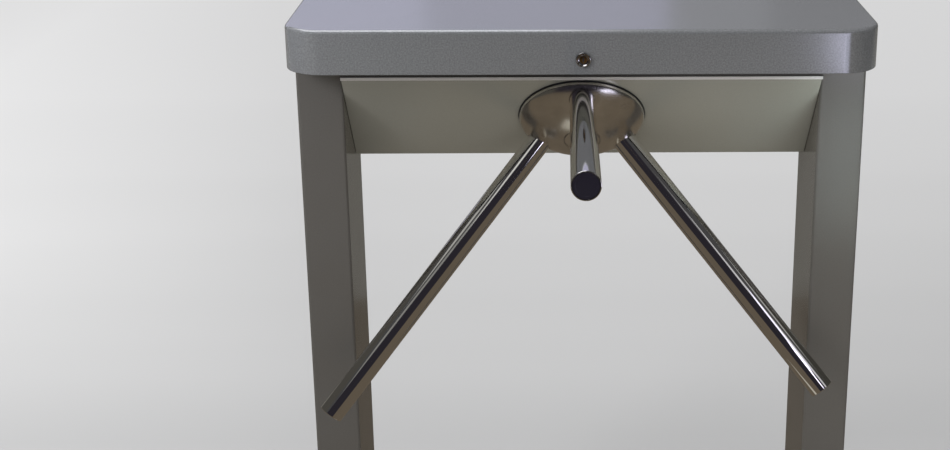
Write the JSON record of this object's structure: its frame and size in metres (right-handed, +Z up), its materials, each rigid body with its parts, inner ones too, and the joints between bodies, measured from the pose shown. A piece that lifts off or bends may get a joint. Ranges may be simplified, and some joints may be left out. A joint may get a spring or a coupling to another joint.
{
  "type": "tripod turnstile",
  "caption": "Waist-high turnstile: a lidded housing on two flat legs, with a polished rotor of three tubular arms on its sloping front.",
  "frame": {"origin": "on the floor, under the middle of the whole outline, arms included", "axes": "+Z up, +X to the right seen from the front, -Y to the front, where the arms reach out"},
  "size_m": [0.752, 0.6558, 1],
  "materials": {
    "leg_coat": "grey metallic powder coat, semi-gloss",
    "housing_coat": "grey metallic powder coat, semi-gloss",
    "lid_coat": "grey metallic powder coat, semi-gloss",
    "polished_steel": "mirror polish",
    "polished_tube": "mirror polish with fine lengthwise marks",
    "black_rubber": "satin",
    "black_plastic": "satin moulded",
    "dark_screw": "black oxide",
    "lock_chrome": "polished",
    "brass": "worn",
    "bronze": "machined",
    "zinc_steel": "zinc plated",
    "machined_steel": "machined",
    "coil_case": "black, satin",
    "supply_case": "anodised",
    "circuit_board": "green solder mask"
  },
  "bodies": {
    "stand": {"left_leg": "leg_coat", "right_leg": "leg_coat", "left_foot_plate": "leg_coat", "right_foot_plate": "leg_coat", "left_front_anchor_bolt": "zinc_steel", "left_rear_anchor_bolt": "zinc_steel", "right_front_anchor_bolt": "zinc_steel", "right_rear_anchor_bolt": "zinc_steel", "front_panel": "housing_coat", "rear_tray": "housing_coat", "left_end_plate": "housing_coat", "right_end_plate": "housing_coat", "left_front_leg_bolt": "zinc_steel", "left_rear_leg_bolt": "zinc_steel", "right_front_leg_bolt": "zinc_steel", "right_rear_leg_bolt": "zinc_steel", "tray_hinge_leaf": "zinc_steel", "hinge_pin": "zinc_steel", "lock_keeper": "zinc_steel", "hub_seal": "black_rubber", "mechanism_chassis": "zinc_steel", "bearing_housing": "machined_steel", "front_bush": "bronze", "rear_bush": "bronze", "left_pawl_pivot": "machined_steel", "right_pawl_pivot": "machined_steel", "left_solenoid": "coil_case", "right_solenoid": "coil_case", "centring_lever_pivot": "machined_steel", "centring_spring": "machined_steel", "power_supply": "supply_case", "control_board": "circuit_board"},
    "lid": {"lid": "lid_coat", "lid_hinge_leaf": "zinc_steel", "lock_body": "lock_chrome", "lock_nut": "zinc_steel"},
    "lock": {"lock_plug": "brass", "lock_cam": "zinc_steel"},
    "rotor": {"hub": "polished_steel", "hub_cap": "polished_steel", "blocking_arm": "polished_tube", "left_arm": "polished_tube", "right_arm": "polished_tube", "blocking_arm_end_cap": "black_plastic", "left_arm_end_cap": "black_plastic", "right_arm_end_cap": "black_plastic", "blocking_arm_set_screw": "dark_screw", "left_arm_set_screw": "dark_screw", "right_arm_set_screw": "dark_screw", "shaft": "machined_steel", "shaft_nut": "zinc_steel", "index_disc": "machined_steel", "centring_cam": "machined_steel"},
    "left_pawl": {"left_pawl": "machined_steel"},
    "right_pawl": {"right_pawl": "machined_steel"},
    "left_plunger": {"left_plunger": "zinc_steel"},
    "right_plunger": {"right_plunger": "zinc_steel"},
    "centring_lever": {"centring_lever": "zinc_steel"},
    "centring_roller": {"centring_roller": "black_plastic"}
  },
  "joints": [
    {"name": "rotor_spin", "type": "hinge", "parent": "stand", "child": "rotor", "pos_m": [0, 0.16639, 0.85741], "axis": [0, -0.7536, -0.6574], "continuous": true},
    {"name": "left_pawl_swing", "type": "hinge", "parent": "stand", "child": "left_pawl", "pos_m": [-0.074, 0.20508, 0.93628], "axis": [0, -0.7536, -0.6574], "range_deg": [0, 13.5]},
    {"name": "right_pawl_swing", "type": "hinge", "parent": "stand", "child": "right_pawl", "pos_m": [0.074, 0.20508, 0.93628], "axis": [0, -0.7536, -0.6574], "range_deg": [-13.5, 0]},
    {"name": "left_plunger_slide", "type": "slide", "parent": "stand", "child": "left_plunger", "axis": [-1, 0, 0], "range_m": [0, 0.00514]},
    {"name": "right_plunger_slide", "type": "slide", "parent": "stand", "child": "right_plunger", "axis": [1, 0, 0], "range_m": [0, 0.00514]},
    {"name": "centring_lever_swing", "type": "hinge", "parent": "stand", "child": "centring_lever", "pos_m": [-0.06, 0.27199, 0.88848], "axis": [0, -0.7536, -0.6574], "range_deg": [-3.9, 0]},
    {"name": "centring_roller_spin", "type": "hinge", "parent": "centring_lever", "child": "centring_roller", "pos_m": [0, 0.26263, 0.8916], "axis": [0, -0.7536, -0.6574], "continuous": true},
    {"name": "lid_open", "type": "hinge", "parent": "stand", "child": "lid", "pos_m": [0, 0.32094, 0.94], "axis": [-1, 0, 0], "range_deg": [0, 80]},
    {"name": "lock_turn", "type": "hinge", "parent": "lid", "child": "lock", "pos_m": [0, 0.04794, 0.963], "axis": [0, -1, 0], "range_deg": [0, 90]}
  ],
  "couplings": [
    {"joint": "left_plunger_slide", "follows": "left_pawl_swing", "m_per_rad": 0.021797},
    {"joint": "right_plunger_slide", "follows": "right_pawl_swing", "m_per_rad": -0.021797}
  ]
}
